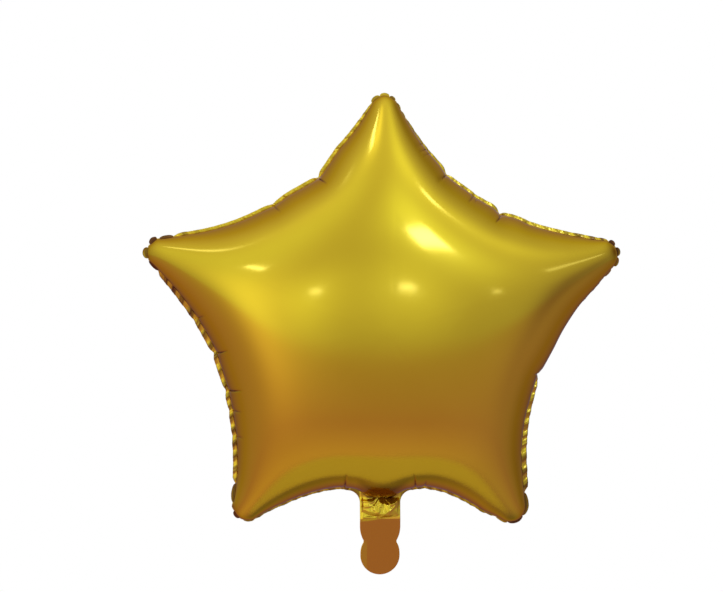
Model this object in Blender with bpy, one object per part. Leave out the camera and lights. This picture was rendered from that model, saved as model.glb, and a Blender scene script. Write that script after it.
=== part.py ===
"""Star foil balloon, inflated: two star-shaped foil panels heat-sealed round their edge, with a filling neck at the foot.

Metres, +Z up, the front faces -Y. The origin is the place on the neck where a ribbon is tied.
The two sealed panels are one closed skin, so the balloon is one solid. It is made in these steps:
the seal line is drawn as arcs, the flat panel inside it is meshed in rings, the panel is bulged like
a membrane under pressure, and the seal strip and the neck are added outside the seal line.
"""

import math

import bmesh
import bpy
import numpy as np

# The star's centre stands this far right of the neck and above the ribbon's place.
CENTRE_OFFSET = 0.0020
CENTRE_HEIGHT = 0.1740

# The star's points: their bearing from the centre, clockwise from straight up, and their reach to the seal line.
TOP_BEARING = 0.5
TOP_REACH = 0.2165
RIGHT_BEARING = 72.3
RIGHT_REACH = 0.2325
RIGHT_FOOT_BEARING = 144.6
RIGHT_FOOT_REACH = 0.2250
LEFT_FOOT_BEARING = 216.9
LEFT_FOOT_REACH = 0.2250
LEFT_BEARING = 288.2
LEFT_REACH = 0.2325

# The edges between them: the reach to the seal line where it comes closest to the centre.
TOP_RIGHT_NOTCH = 0.1485
RIGHT_NOTCH = 0.1575
BOTTOM_NOTCH = 0.1540
LEFT_NOTCH = 0.1570
TOP_LEFT_NOTCH = 0.1500
BOTTOM_STRAIGHT = 0.0660

# The blunt end of each point, and the lobes that its strip gathers into.
TIP_HALF_WIDTH = 0.0105
TIP_BULGE = 0.0055
TIP_LOBES = 3
LOBE_DEPTH = 0.0010

# The inflated depth from the seal to the crown, on each side.
HALF_DEPTH = 0.0880
CROWN_POWER = 1.5

# The heat seal outside the seal line: two films welded flat, then ruffled as the edge shrinks.
SEAL_WIDTH = 0.0046
SEAL_THICKNESS = 0.0006
RUFFLE_HEIGHT = 0.0011
RUFFLE_PITCH = 0.0170

# How far the strip leans back out of the star's plane, as pairs of a bearing and an angle in degrees.
SEAL_LEAN = (
    (0, 15),
    (8, 25),
    (68, 25),
    (78, 60),
    (104, 60),
    (109, 10),
    (142, 10),
    (150, 35),
    (212, 35),
    (220, 5),
    (290, 5),
    (360, 15),
)

# Creases that cross the seal, as pairs of a bearing and how far the edge is pulled in there.
CREASES = (
    (23.2, 0.0030),
    (35.2, 0.0004),
    (45.8, 0.0038),
    (107.3, 0.0036),
    (165.8, 0.0003),
    (168.8, 0.0008),
    (193.5, 0.0006),
    (233.3, 0.0003),
    (240.9, 0.0005),
    (247.6, 0.0010),
    (261.0, 0.0012),
    (317.5, 0.0022),
    (336.5, 0.0062),
)
CREASE_REACH = 0.0190
CREASE_LENGTH = 0.0210
CREASE_WIDTH = 0.0038
CREASE_PINCH = 0.45
STRONG_CREASE = 0.0040

# The neck that hangs from the bottom edge. Drops are measured down from the ribbon's place.
THROAT_RISE = 0.0105
NECK_WIDTH = 0.0385
NECK_FILLET = 0.0120
SHOULDER_DROP = 0.0170
WAIST_DROP = 0.0315
SHOULDER_CURVE = 0.0240
TAB_CENTRE_DROP = 0.0452
TAB_RADIUS = 0.0187
NECK_PUFF = 0.0042
CRUMPLE_HEIGHT = 0.0020
FLAT_DROP = 0.0150

# How finely the skin is meshed. Rings are shares of the way out from the centre, with the
# number of seal columns that each ring skips.
EDGE_COLUMNS = 64
TIP_COLUMNS = 16
RINGS = (
    (1.000, 1),
    (0.988, 1),
    (0.966, 2),
    (0.935, 2),
    (0.890, 2),
    (0.830, 2),
    (0.750, 4),
    (0.650, 4),
    (0.530, 4),
    (0.390, 8),
    (0.240, 8),
    (0.110, 16),
)
STRAIGHT_ROWS = 11
SHOULDER_ROWS = 3
TAB_ROWS = 9

FOIL_COLOUR = (0.74, 0.53, 0.055, 1.0)
FOIL_ROUGHNESS = 0.22


def clear_scene():
    for thing in list(bpy.data.objects):
        bpy.data.objects.remove(thing)


def heading(bearing):
    """The unit vector in the star's plane at a bearing clockwise from straight up, as (x, z)."""
    return np.array([math.sin(math.radians(bearing)), math.cos(math.radians(bearing))])


def tip_corners(bearing, reach):
    """Where the edge before and the edge after a point meet its blunt end."""
    ahead = heading(bearing)
    across = heading(bearing + 90)
    base = (reach - TIP_BULGE) * ahead
    return base - TIP_HALF_WIDTH * across, base + TIP_HALF_WIDTH * across


def tip_curve(bearing, reach, shares):
    """The blunt end of a point: the arc through its two corners and its tip, bowed out between them."""
    before, after = tip_corners(bearing, reach)
    bow = TIP_BULGE * (1 - (2 * shares - 1) ** 2)
    return before + np.outer(shares, after - before) + np.outer(bow, heading(bearing))


def edge_curve(start, notch, end, straight, shares):
    """One edge: an arc from the start, a straight stretch across the notch, and an arc to the end.

    Both arcs leave the straight stretch without a corner, so each radius follows from its far end.
    """
    out = notch / np.linalg.norm(notch)
    along = np.array([out[1], -out[0]])
    turns, lengths, radii = [], [], []
    for corner in (start, end):
        side = abs((corner - notch) @ along) - straight / 2
        rise = (corner - notch) @ out
        radius = (side**2 + rise**2) / (2 * rise)
        turns.append(math.atan2(side, radius - rise))
        lengths.append(radius * turns[-1])
        radii.append(radius)
    travelled = shares * (sum(lengths) + straight)
    first = np.clip(lengths[0] - travelled, 0, None) / radii[0]
    last = np.clip(travelled - lengths[0] - straight, 0, None) / radii[1]
    level = np.clip(travelled - lengths[0], 0, straight) - straight / 2
    sideways = level - radii[0] * np.sin(first) + radii[1] * np.sin(last)
    rise = radii[0] * (1 - np.cos(first)) + radii[1] * (1 - np.cos(last))
    return notch + np.outer(sideways, along) + np.outer(rise, out)


def drop_throat(line):
    """The bottom edge dips where the neck leaves it, so that the bulge hangs a little into the neck."""
    dip = CENTRE_HEIGHT - THROAT_RISE - BOTTOM_NOTCH
    reach = NECK_WIDTH / 2 + NECK_FILLET
    away = line[:, 0] + CENTRE_OFFSET
    near = (np.abs(away) < reach) & (line[:, 1] < 0)
    lowered = line.copy()
    lowered[near, 1] -= dip * np.cos(away[near] / reach * math.pi / 2) ** 2
    return lowered


def outward_normals(line):
    """Unit normals of a closed clockwise line, pointing away from the star."""
    along = np.roll(line, -1, axis=0) - np.roll(line, 1, axis=0)
    normals = np.stack([-along[:, 1], along[:, 0]], axis=1)
    return normals / np.linalg.norm(normals, axis=1)[:, None]


def bearings_of(line):
    """The bearing of each point of the line from the centre, rising clockwise."""
    turned = np.unwrap(np.arctan2(line[:, 0], line[:, 1]))
    return np.degrees(turned)


def lengths_along(line):
    """How far along the closed line each of its points lies, and its whole length."""
    steps = np.linalg.norm(np.roll(line, -1, axis=0) - line, axis=1)
    return np.concatenate([[0], np.cumsum(steps)[:-1]]), steps.sum()


def crease_distances(line):
    """For each crease, how far along the line every point is from it, with its pull.

    A crease moves to the nearest column that the rings next to the seal keep.
    """
    bearings = bearings_of(line)
    along, whole = lengths_along(line)
    for bearing, pull in CREASES:
        column = np.argmin(np.abs(bearings[::2] - bearing)) * 2
        away = np.abs(along - along[column])
        yield np.minimum(away, whole - away), pull


def seal_line():
    """The seal line's points about the star's centre, and how each takes part in a lobe of a tip.

    The lobe value runs from 0 between two lobes to 1 on them, and it is 1 along the edges.
    """
    tips = (
        (TOP_BEARING, TOP_REACH, TOP_RIGHT_NOTCH, 0.0),
        (RIGHT_BEARING, RIGHT_REACH, RIGHT_NOTCH, 0.0),
        (RIGHT_FOOT_BEARING, RIGHT_FOOT_REACH, BOTTOM_NOTCH, BOTTOM_STRAIGHT),
        (LEFT_FOOT_BEARING, LEFT_FOOT_REACH, LEFT_NOTCH, 0.0),
        (LEFT_BEARING, LEFT_REACH, TOP_LEFT_NOTCH, 0.0),
    )
    tip_shares = np.arange(TIP_COLUMNS) / TIP_COLUMNS
    edge_shares = np.arange(EDGE_COLUMNS) / EDGE_COLUMNS
    lines, lobes = [], []
    for index, (bearing, reach, notch, straight) in enumerate(tips):
        next_bearing, next_reach = tips[(index + 1) % len(tips)][:2]
        next_bearing += 360 * (next_bearing < bearing)
        lines.append(tip_curve(bearing, reach, tip_shares))
        lobes.append(np.abs(np.sin(math.pi * TIP_LOBES * tip_shares)))
        start = tip_corners(bearing, reach)[1]
        end = tip_corners(next_bearing, next_reach)[0]
        middle = notch * heading((bearing + next_bearing) / 2)
        lines.append(edge_curve(start, middle, end, straight, edge_shares))
        lobes.append(np.ones(EDGE_COLUMNS))
    line, lobe = np.concatenate(lines), np.concatenate(lobes)
    line = drop_throat(line)
    pull = LOBE_DEPTH * (1 - lobe)
    for away, depth in crease_distances(line):
        pull += depth * np.clip(1 - away / CREASE_REACH, 0, None) ** 2
    return line - pull[:, None] * outward_normals(line), lobe


def crease_pinch(line):
    """From 0 to 1 at a crease: how tightly the film is gathered at each point of the seal line."""
    pinch = np.zeros(len(line))
    for away, pull in crease_distances(line):
        strength = min(1.0, 0.35 + 0.65 * pull / STRONG_CREASE)
        pinch = np.maximum(pinch, strength * np.exp(-away / CREASE_WIDTH))
    return pinch


def panel_rings(line):
    """The flat panel's points, ring by ring from the seal line in, and the rings as index lists."""
    points, rings, start = [], [], 0
    for share, skip in RINGS:
        ring = line[::skip] * share
        points.append(ring)
        rings.append(np.arange(start, start + len(ring)))
        start += len(ring)
    points.append(np.zeros((1, 2)))
    return np.concatenate(points), rings


def band(outer, inner):
    """Triangles between two rings, where the inner one has as many points or half as many."""
    faces = []
    count = len(inner)
    for i in range(count):
        a, b = inner[i], inner[(i + 1) % count]
        if len(outer) == count:
            c, d = outer[i], outer[(i + 1) % count]
            faces += [(c, d, b), (c, b, a)]
        else:
            c, d, e = outer[2 * i], outer[2 * i + 1], outer[(2 * i + 2) % len(outer)]
            faces += [(c, d, a), (d, b, a), (d, e, b)]
    return faces


def panel_faces(rings, centre):
    faces = []
    for outer, inner in zip(rings[:-1], rings[1:]):
        faces += band(outer, inner)
    last = rings[-1]
    for i in range(len(last)):
        faces.append((last[i], last[(i + 1) % len(last)], centre))
    return np.array(faces)


def membrane(points, faces, fixed):
    """Solves for a film held at its edge and pushed evenly, with linear elements on the flat panel.

    Half the square of the bulge's height follows this curve: it makes an arm round in section.
    """
    count = len(points)
    stiffness = np.zeros((count, count))
    load = np.zeros(count)
    corners = points[faces]
    for i in range(3):
        j, k = (i + 1) % 3, (i + 2) % 3
        u = corners[:, j] - corners[:, i]
        v = corners[:, k] - corners[:, i]
        cross = np.abs(u[:, 0] * v[:, 1] - u[:, 1] * v[:, 0])
        weight = 0.5 * (u * v).sum(axis=1) / cross
        first, second = faces[:, j], faces[:, k]
        np.add.at(stiffness, (first, second), -weight)
        np.add.at(stiffness, (second, first), -weight)
        np.add.at(stiffness, (first, first), weight)
        np.add.at(stiffness, (second, second), weight)
        np.add.at(load, faces[:, i], cross / 6)
    free = np.arange(fixed, count)
    answer = np.zeros(count)
    answer[free] = np.linalg.solve(stiffness[np.ix_(free, free)], load[free])
    return np.maximum(answer, 0)


def bulge_heights(points, faces, rings, line, pinch):
    """The height of the front panel over each flat point: round arms, a flatter crown and pinched creases."""
    height = np.sqrt(2 * membrane(points, faces, len(line)))
    full = height.max()
    height *= 1 - (1 - HALF_DEPTH / full) * (height / full) ** CROWN_POWER
    reach = np.linalg.norm(line, axis=1)
    for ring, (share, skip) in zip(rings, RINGS):
        inside = (1 - share) * reach[::skip]
        fade = np.clip(1 - inside / CREASE_LENGTH, 0, None) ** 2
        height[ring] *= 1 - CREASE_PINCH * pinch[::skip] * fade
    return height


def cut_edge(line, lobe, pinch):
    """The seal strip's cut edge: its places in the star's plane, and how far each stands behind it.

    The strip leans back, ruffles in waves, narrows at the creases and forms lobes at the points.
    """
    along, _ = lengths_along(line)
    bearings, leans = zip(*SEAL_LEAN)
    lean = np.radians(np.interp(bearings_of(line) % 360, bearings, leans))
    width = SEAL_WIDTH * (1 - 0.7 * pinch) * (0.2 + 0.8 * lobe)
    slow = 0.7 + 0.3 * np.sin(2 * math.pi * along / (5.3 * RUFFLE_PITCH))
    wave = RUFFLE_HEIGHT * np.sin(2 * math.pi * along / RUFFLE_PITCH) * slow * (0.4 + 0.6 * lobe)
    reach = width * np.cos(lean) - wave * np.sin(lean)
    return line + reach[:, None] * outward_normals(line), width * np.sin(lean) + wave * np.cos(lean)


def neck_half_width(z):
    """Half the neck's width at a height: a fillet from the bottom edge, a straight, a waist and a round tab."""
    half = NECK_WIDTH / 2
    rise = np.clip((z - THROAT_RISE + SEAL_WIDTH) / NECK_FILLET, 0, 1)
    fillet = NECK_FILLET * (1 - np.sqrt(1 - rise**2))
    curve = np.clip((-z - SHOULDER_DROP) / SHOULDER_CURVE, 0, 0.98)
    upper = half * np.sqrt(1 - curve**2) + fillet
    above = np.clip((z + TAB_CENTRE_DROP) / TAB_RADIUS, 0, 1)
    below = np.clip((-z - TAB_CENTRE_DROP) / TAB_RADIUS, 0, 1)
    tab = TAB_RADIUS * np.where(z > -TAB_CENTRE_DROP, (1 - above**2.6) ** (1 / 2.6), np.sqrt(1 - below**2))
    return np.where(z > -WAIST_DROP, upper, tab)


def neck_levels():
    """The heights of the neck's rows, from the throat to the end of the tab, closer together at its round end."""
    top = THROAT_RISE - SEAL_WIDTH
    straight = np.linspace(top, -SHOULDER_DROP, STRAIGHT_ROWS + 1)
    shoulder = np.linspace(-SHOULDER_DROP, -WAIST_DROP, SHOULDER_ROWS + 1)[1:]
    turn = np.linspace(math.asin((TAB_CENTRE_DROP - WAIST_DROP) / TAB_RADIUS), -math.pi / 2, TAB_ROWS + 1)[1:]
    tab = -TAB_CENTRE_DROP + TAB_RADIUS * np.sin(turn)
    return np.concatenate([straight, shoulder, tab])


def neck_rows(top_row):
    """The neck's points row by row below its top row, each (x, z), all but the last point of the tab."""
    reach = np.abs(top_row[:, 0]).max()
    shares = top_row[:, 0] / reach
    levels = neck_levels()
    rows = []
    for index, level in enumerate(levels[1:-1], start=1):
        fade = max(0.0, 1 - index / STRAIGHT_ROWS) ** 2
        heights = level + (top_row[:, 1] - levels[0]) * fade
        widths = shares * neck_half_width(heights)
        settle = 1 - max(0.0, 1 - index / 4) ** 2
        x = top_row[:, 0] * (1 - settle) + widths * settle
        rows.append(np.stack([x, heights], axis=1))
    return rows, levels[-1]


def crumple(points):
    """The neck film's folds: how far its middle leaves the star's plane. It dies out at the flat tab."""
    x, z = points[:, 0], points[:, 1]
    fold = np.sin(2 * math.pi * (z + 0.35 * x) / 0.0150) + 0.6 * np.sin(2 * math.pi * (x - 0.5 * z) / 0.0190)
    depth = np.clip((z + FLAT_DROP) / (THROAT_RISE + FLAT_DROP), 0, 1)
    return CRUMPLE_HEIGHT * fold * np.sin(math.pi * depth) ** 2


def neck_puff(points):
    """Half the thickness of the air left in the neck, over the welded film."""
    share = points[:, 0] / neck_half_width(points[:, 1])
    depth = np.clip((points[:, 1] + FLAT_DROP) / (THROAT_RISE + FLAT_DROP), 0, 1)
    return NECK_PUFF * np.clip(1 - share**2, 0, 1) * depth**1.5


def add_neck(placed, middles, heights, faces, top):
    """Hangs the neck from the top row of the cut edge: rows of film down to the round end of the tab."""
    rows, end = neck_rows(placed[top])
    above, start = top, len(placed)
    for row in rows:
        here = np.arange(start, start + len(row))
        left, right = (above[:-1], here[:-1]), (above[1:], here[1:])
        faces = np.concatenate([
            faces,
            np.stack([left[0], left[1], right[1]], axis=1),
            np.stack([left[0], right[1], right[0]], axis=1),
        ])
        above, start = here, start + len(row)
    fan = np.stack([above[:-1], np.full(len(above) - 1, start), above[1:]], axis=1)
    film = np.concatenate(rows)
    placed = np.concatenate([placed, film, [[0, end]]])
    middles = np.concatenate([middles, crumple(film), [0]])
    heights = np.concatenate([heights, neck_puff(film), [0]])
    return placed, middles, heights, np.concatenate([faces, fan])


def half_skin():
    """The front half of the skin: its places in the plane, its middle's depth, its half thickness and faces."""
    line, lobe = seal_line()
    pinch = crease_pinch(line)
    flat, rings = panel_rings(line)
    faces = panel_faces(rings, len(flat) - 1)
    heights = bulge_heights(flat, faces, rings, line, pinch)

    edge, behind = cut_edge(line, lobe, pinch)
    cut = np.arange(len(line)) + len(flat)
    placed = np.concatenate([flat, edge]) + [CENTRE_OFFSET, CENTRE_HEIGHT]
    middles = np.concatenate([np.zeros(len(flat)), behind])
    heights = np.concatenate([heights, np.zeros(len(edge))])
    faces = np.concatenate([faces, band(cut, rings[0])])

    over_neck = np.abs(placed[cut, 0]) < NECK_WIDTH / 2 + NECK_FILLET
    top = cut[over_neck & (line[:, 1] < 0)]
    middles[top] = crumple(placed[top]) / 2
    heights[top] = neck_puff(placed[top])
    return add_neck(placed, middles, heights, faces, top)


def build_balloon():
    """Both halves of the skin, back to back, with the cut edge of the seal closed between them."""
    placed, middles, heights, faces = half_skin()
    skin = bmesh.new()
    for side in (-1, 1):
        y = middles + side * (heights + SEAL_THICKNESS / 2)
        verts = [skin.verts.new((x, depth, z)) for (x, z), depth in zip(placed, y)]
        for corners in faces:
            skin.faces.new([verts[i] for i in corners])
    open_edges = [edge for edge in skin.edges if edge.is_boundary]
    bmesh.ops.bridge_loops(skin, edges=open_edges)
    bmesh.ops.recalc_face_normals(skin, faces=skin.faces)
    mesh = bpy.data.meshes.new("foil_envelope")
    skin.to_mesh(mesh)
    skin.free()
    mesh.shade_smooth()
    balloon = bpy.data.objects.new("foil_envelope", mesh)
    bpy.context.scene.collection.objects.link(balloon)
    return balloon


def gold_foil():
    material = bpy.data.materials.new("gold_foil")
    material.use_nodes = True
    shader = material.node_tree.nodes["Principled BSDF"]
    shader.inputs["Base Color"].default_value = FOIL_COLOUR
    shader.inputs["Metallic"].default_value = 1.0
    shader.inputs["Roughness"].default_value = FOIL_ROUGHNESS
    return material


def main():
    clear_scene()
    balloon = build_balloon()
    balloon.data.materials.append(gold_foil())


main()
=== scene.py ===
"""An inflated star balloon of gold foil: its skin, its ruffled seal strip and its filling neck.

Metres, +Z up, the front faces -Y, and the origin is the place on the neck where a ribbon is tied.
Only the tables of creases, strip, lobes and crumple give their lengths in millimetres, to be short.
"""

import math

import bpy
import numpy as np
from mathutils import Matrix, Vector
from mathutils.geometry import delaunay_2d_cdt


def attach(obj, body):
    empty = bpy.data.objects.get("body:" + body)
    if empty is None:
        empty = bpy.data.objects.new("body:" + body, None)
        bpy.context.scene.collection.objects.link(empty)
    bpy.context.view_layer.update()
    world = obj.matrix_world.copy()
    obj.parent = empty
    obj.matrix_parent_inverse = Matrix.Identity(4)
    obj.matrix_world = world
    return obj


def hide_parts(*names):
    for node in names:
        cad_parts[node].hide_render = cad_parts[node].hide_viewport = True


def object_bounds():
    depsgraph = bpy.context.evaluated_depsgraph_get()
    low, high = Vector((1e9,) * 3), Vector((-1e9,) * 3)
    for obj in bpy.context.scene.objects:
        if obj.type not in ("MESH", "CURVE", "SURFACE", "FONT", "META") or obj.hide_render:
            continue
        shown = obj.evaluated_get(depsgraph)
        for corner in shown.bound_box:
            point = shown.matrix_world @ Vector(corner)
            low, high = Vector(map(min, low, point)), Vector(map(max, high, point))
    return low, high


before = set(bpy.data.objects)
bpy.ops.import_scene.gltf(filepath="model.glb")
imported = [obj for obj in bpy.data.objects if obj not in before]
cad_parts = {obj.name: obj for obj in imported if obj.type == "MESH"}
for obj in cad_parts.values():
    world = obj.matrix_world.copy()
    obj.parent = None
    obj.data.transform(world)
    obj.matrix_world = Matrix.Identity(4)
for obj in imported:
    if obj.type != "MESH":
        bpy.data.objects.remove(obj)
cad_low, cad_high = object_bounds()

MM = 0.001

# The star's centre above and beside the ribbon's place, and the outline of the solid that the skin replaces.
CENTRE_OFFSET = 0.002
CENTRE_HEIGHT = 0.174
POINTS = (
    # bearing clockwise from straight up, reach to the seal, reach to the next notch, straight stretch there
    (0.5, 0.2165, 0.1485, 0.0),
    (72.3, 0.2325, 0.1575, 0.0),
    (144.6, 0.2250, 0.1540, 0.0660),
    (216.9, 0.2250, 0.1570, 0.0),
    (288.2, 0.2325, 0.1500, 0.0),
)
TIP_HALF_WIDTH = 0.0105
TIP_BULGE = 0.0055

# How the skin is inflated, just inside the solid's depth, and when the film's solution is fine enough.
DEPTH_MARGIN = 0.0003
HALF_DEPTH = float(cad_high.y - cad_low.y) / 2 - DEPTH_MARGIN
CROWN_POWER = 1.5
SOLVED_SHARE = 1e-16
MOST_ROUNDS = 6000

# Creases that start at the seal: bearing, how far the edge is pulled in, how far that reaches before and
# after it, where the crease ends seen from where it starts (across, up), and its depth, in millimetres.
CREASES = (
    (12.3, 0, 10, 10, -9, -3.4, 1),
    (13.9, 0, 10, 10, -9.5, -4, 1.2),
    (15.3, 0, 10, 10, -8.5, -3.4, 0.9),
    (22.9, 2.2, 12, 30, -13.5, -6.4, 2.4),
    (34.8, 0.3, 8, 10, -8, -6.6, 1.8),
    (36.4, 0.3, 8, 10, -5, -4.6, 1.2),
    (46.6, 4.4, 12, 20, -8.5, -7.2, 2.4),
    (107.3, 3.6, 30, 16, -8, 2, 2.6),
    (165.8, 0.3, 8, 8, 0, 12, 1.8),
    (168.8, 0.4, 10, 10, -4.4, 20, 2.2),
    (193.5, 0.3, 10, 10, 0, 19, 2.2),
    (233.3, 0.3, 8, 8, 8, 1, 1.2),
    (240.9, 0.5, 8, 8, 9, 1.2, 1.8),
    (247.6, 1, 12, 12, 13, 3, 2.8),
    (261.0, 1.2, 12, 12, 11, 5, 2.4),
    (272.5, 0.3, 8, 8, 8, 5, 1.2),
    (317.8, 1.2, 12, 16, 6, -5, 1.4),
    (336.5, 5.2, 34, 34, 7, -5, 2.2),
)
CREASE_WIDTH = 0.0006
CREASE_ONSET = 0.0006
# A crease this deep carries the full painted shade, and shallower ones carry less.
CREASE_SHADE_DEPTH = 0.0016
PULL_POWER = 1.4
# Columns crowd at the creases: how much denser they get there, and over what share of an edge.
CREASE_CROWDING = 5.0
CROWDING_SPREAD = 0.012
PROBES = 201
FINE_PROBES = 4001

# The seal strip. By bearing: how far the skin swells past the seal of the solid, how much of the strip shows
# beside it, how far the strip leans back in degrees, the height of its ruffles and the painted shade in its
# folds.
# Lengths are in millimetres.
SWELL, SHOWN, LEAN, RUFFLE, PAINTED_FOLD_SHADE = range(1, 6)
STRIP = (
    (3, 0.4, 0.8, 50, 0.4, 0.5),
    (6, 1, 1, 45, 0.4, 0.3),
    (15, 1.1, 1.4, 40, 0.5, 0.15),
    (21, 1.2, 2, 25, 0.6, 0.15),
    (27, 1.2, 2, 12, 0.7, 0.2),
    (40, 2.2, 2.2, 10, 0.8, 0.2),
    (48, 4.8, 2.2, 14, 0.9, 0.6),
    (52, 4.4, 2.2, 14, 0.9, 0.5),
    (56, 3.4, 2.4, 14, 0.7, 0.2),
    (63, 4, 2.4, 14, 0.7, 0.4),
    (67, 3.2, 2.2, 20, 0.7, 0.9),
    (70, 0.8, 1, 45, 0.4, 0.9),
    (73, 1.6, 0.6, 60, 0.4, 0.9),
    (76, 3.4, 0.4, 70, 0.3, 0.8),
    (79, 4.4, 0.5, 70, 0.4, 0.6),
    (84, 2.4, 0.6, 70, 0.4, 0.4),
    (92, 1.8, 0.6, 70, 0.4, 0.4),
    (105, 2.4, 0.6, 70, 0.4, 0.4),
    (109, -1, 2.6, 20, 0.9, 0.4),
    (113, -3, 3.8, 10, 1.2, 0.4),
    (124, -3.6, 4.6, 8, 1.5, 0.5),
    (132, -2.4, 5, 8, 1.5, 0.6),
    (138, 0.4, 4.4, 20, 1, 0.8),
    (144, 1.6, 1, 55, 0.4, 1.0),
    (147, 2.6, 1, 55, 0.4, 0.8),
    (150, 5.6, 1.2, 50, 0.5, 0.6),
    (153, 3.4, 1.8, 35, 0.7, 0.4),
    (159, -0.4, 2.2, 20, 0.9, 0.6),
    (165, -2.2, 3, 15, 1, 0.7),
    (171, 1.2, 2.6, 20, 0.9, 0.7),
    (189, 1.2, 2.6, 20, 0.9, 0.7),
    (196, -0.8, 2.8, 15, 1, 0.7),
    (204, 1.4, 2.2, 20, 0.9, 0.6),
    (210, 3, 1.8, 35, 0.7, 0.5),
    (215, 2.2, 0.8, 55, 0.4, 0.9),
    (220, 1.2, 1.2, 55, 0.4, 1.0),
    (224, 0.6, 3.2, 15, 1, 0.8),
    (250, 0.6, 3.2, 12, 1.1, 0.6),
    (266, -0.4, 4.2, 12, 1.2, 0.7),
    (278, 0.6, 4, 20, 1.2, 1.0),
    (283, 0.6, 3.2, 40, 0.8, 1.0),
    (286, -0.2, 1, 60, 0.4, 1.0),
    (290, 0.2, 0.6, 60, 0.3, 1.0),
    (291.6, 1.6, 0.8, 50, 0.4, 1.0),
    (292.8, 2.6, 2.2, 30, 0.5, 0.3),
    (294, 3.4, 2, 30, 0.5, 0.6),
    (298, 3, 2.2, 15, 0.6, 0.15),
    (304, 2.5, 2.4, 10, 0.6, 0.1),
    (317, 2.2, 2.4, 10, 0.7, 0.12),
    (330, 1.4, 2.6, 10, 0.7, 0.12),
    (346, 1.6, 2.6, 10, 0.8, 0.15),
    (353, 0.6, 2.2, 15, 0.8, 0.4),
    (357, 0.2, 1, 40, 0.4, 0.6),
)
# Lobes of gathered film round the points: bearing, half length along the seam and how far each stands out,
# in millimetres, and how much painted shade it carries.
LOBES = (
    (358.3, 4.6, 2.2, 0.45),
    (0.6, 4.4, 2.2, 0.25),
    (2.6, 3, 1.8, 0.7),
    (4.2, 3.4, 1.2, 0.4),
    (5.6, 3.4, 0.8, 0.4),
    (70.6, 3.4, 3, 0.95),
    (72.8, 4, 3.4, 0.75),
    (75.0, 4.4, 2.6, 0.5),
    (77.0, 4.6, 1.4, 0.5),
    (141.4, 11, 3.4, 0.6),
    (145.6, 7.6, 2.2, 0.9),
    (148.4, 6, 1.4, 0.3),
    (214.5, 5, 1.4, 0.4),
    (217.6, 4, 2.2, 0.9),
    (221.4, 9, 2.8, 0.8),
    (284.9, 6, 1.8, 0.95),
    (287.3, 5, 4.2, 0.6),
    (290.3, 4.2, 3.6, 0.95),
    (292.2, 6.6, 2.2, 0.9),
)
LOBE_ZONE = 0.01
LOBE_LEAN = 30
# A lobe bows back by this share of its stand-out, along this part of a half wave, and has calmer ruffles.
LOBE_BOWL = 0.5
LOBE_BOWL_PART = 0.8
LOBE_CALM = 0.7

# The strip's rows as shares of its width, from just under the skin to the rim, its thickness and least width.
STRIP_ROWS = (-0.12, 0.1, 0.3, 0.55, 0.8, 1.0)
SEAL_THICKNESS = 0.00022
LEAST_SHOWN = 0.0004
# Folds: shortest and longest step, share in the ruffle, smallest height and slant.
COARSE_FOLDS = (0.0034, 0.0085)
FINE_FOLDS = (0.0012, 0.0026)
COARSE_SHARE = 0.8
FINE_SHARE = 0.3
LEAST_FOLD = 0.4
FOLD_SLANT = 0.7
FOLD_SEED = 11
# Painted shade in a fold is level minus gain times its wave.
SHADE_LEVEL = 0.5
SHADE_GAIN = 1.4
# At a crease the strip is hidden: at most this share of it, in full at this pull, within this reach.
HIDDEN_SHARE = 0.85
HIDING_PULL = 0.003
HIDING_REACH = 0.004

# The throat, where the bottom edge dips to the neck: its height, half width, level part and bearings, and the
# share of the neck's fillet over which the strip ends there.
THROAT_RISE = 0.0105
THROAT_REACH = 0.028
THROAT_LEVEL = 0.008
THROAT_BEARINGS = (155, 205)
THROAT_SLOPE = 0.6
# Painted shade under the belly, over the neck: how strong, how high above the seam, and its soft ends.
OVERHANG_SHADE = 0.72
OVERHANG_DEPTH = 0.0185
OVERHANG_FADE = 0.006
OVERHANG_SIDE = 0.006
OVERHANG_SIDE_FADE = 0.014

# The neck below the bottom edge. Drops are measured down from the ribbon's place.
NECK_WIDTH = 0.0385
NECK_FILLET = 0.012
NECK_BORDER = 0.0053
SHOULDER_DROP = 0.017
WAIST_DROP = 0.0315
SHOULDER_CURVE = 0.024
SHOULDER_END = 0.98
TAB_CENTRE_DROP = 0.0452
TAB_RADIUS = 0.0187
TAB_POWER = 2.6
TAB_FOOT = 0.0003
TAB_LEAN = 4.5
# Where the crumple ends and the pressed tab starts: a slanting line across the neck, bent as part of a sine.
FLAT_DROP = 0.01
FLAT_SLOPE = 0.0024
FLAT_BEND = 3
PRESSED_FADE = 0.0006
CRUMPLE_FADE = 0.002
CRUMPLE_MARGIN = 0.0035
# A paler band down the left side of the tab, and its paler rim.
BAND_EDGE = -0.0122
BAND_TOP = -0.03
BAND_PALENESS = 0.5
BAND_EDGE_FADE = 0.0005
BAND_TOP_FADE = 0.004
RIM_WIDTH = 0.0007
RIM_PRESSED = 0.6
# The fan of folds: where it is gathered, how far down and how wide it spreads, and how unevenly.
FAN_TOP = (0.0005, 0.0125)
FAN_REACH = 0.0105
FAN_SPREAD = 0.55
FAN_FOLDS = 7
FAN_HEIGHT = 0.00055
FAN_SHIFT = 1.3
FAN_SHIFT_PACE = 2.1
# Painted light on the neck: painted shade under the seam and in the fillets, and a painted dark reflection in
# a patch beside the middle.
SEAM_SHADE = 0.0012
PATCH_PAINTED_REFLECTION = 0.4
PATCH_PLACE = (0.0095, 0.0085)
PATCH_SIZE = (0.0060, 0.0040)
FILLET_PAINTED_SHADE = 0.55
FILLET_MARGIN = 0.0002
FILLET_FADE = 0.0008

# How the two films lie and meet, and the neck's grid.
NECK_OVERLAP = 0.0008
NECK_HEM = 0.05
RISE_POWER = 1.5
FILM_GAP = 0.0003
FILM_BORDER = 0.001
MOUTH_BORDER = 0.003
CRUMPLE_SOFTENING = 2
NECK_COLUMNS = 97
COLUMN_CROWDING = 0.93
CRUMPLE_ROWS = 84
TAB_ROWS = 40
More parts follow.
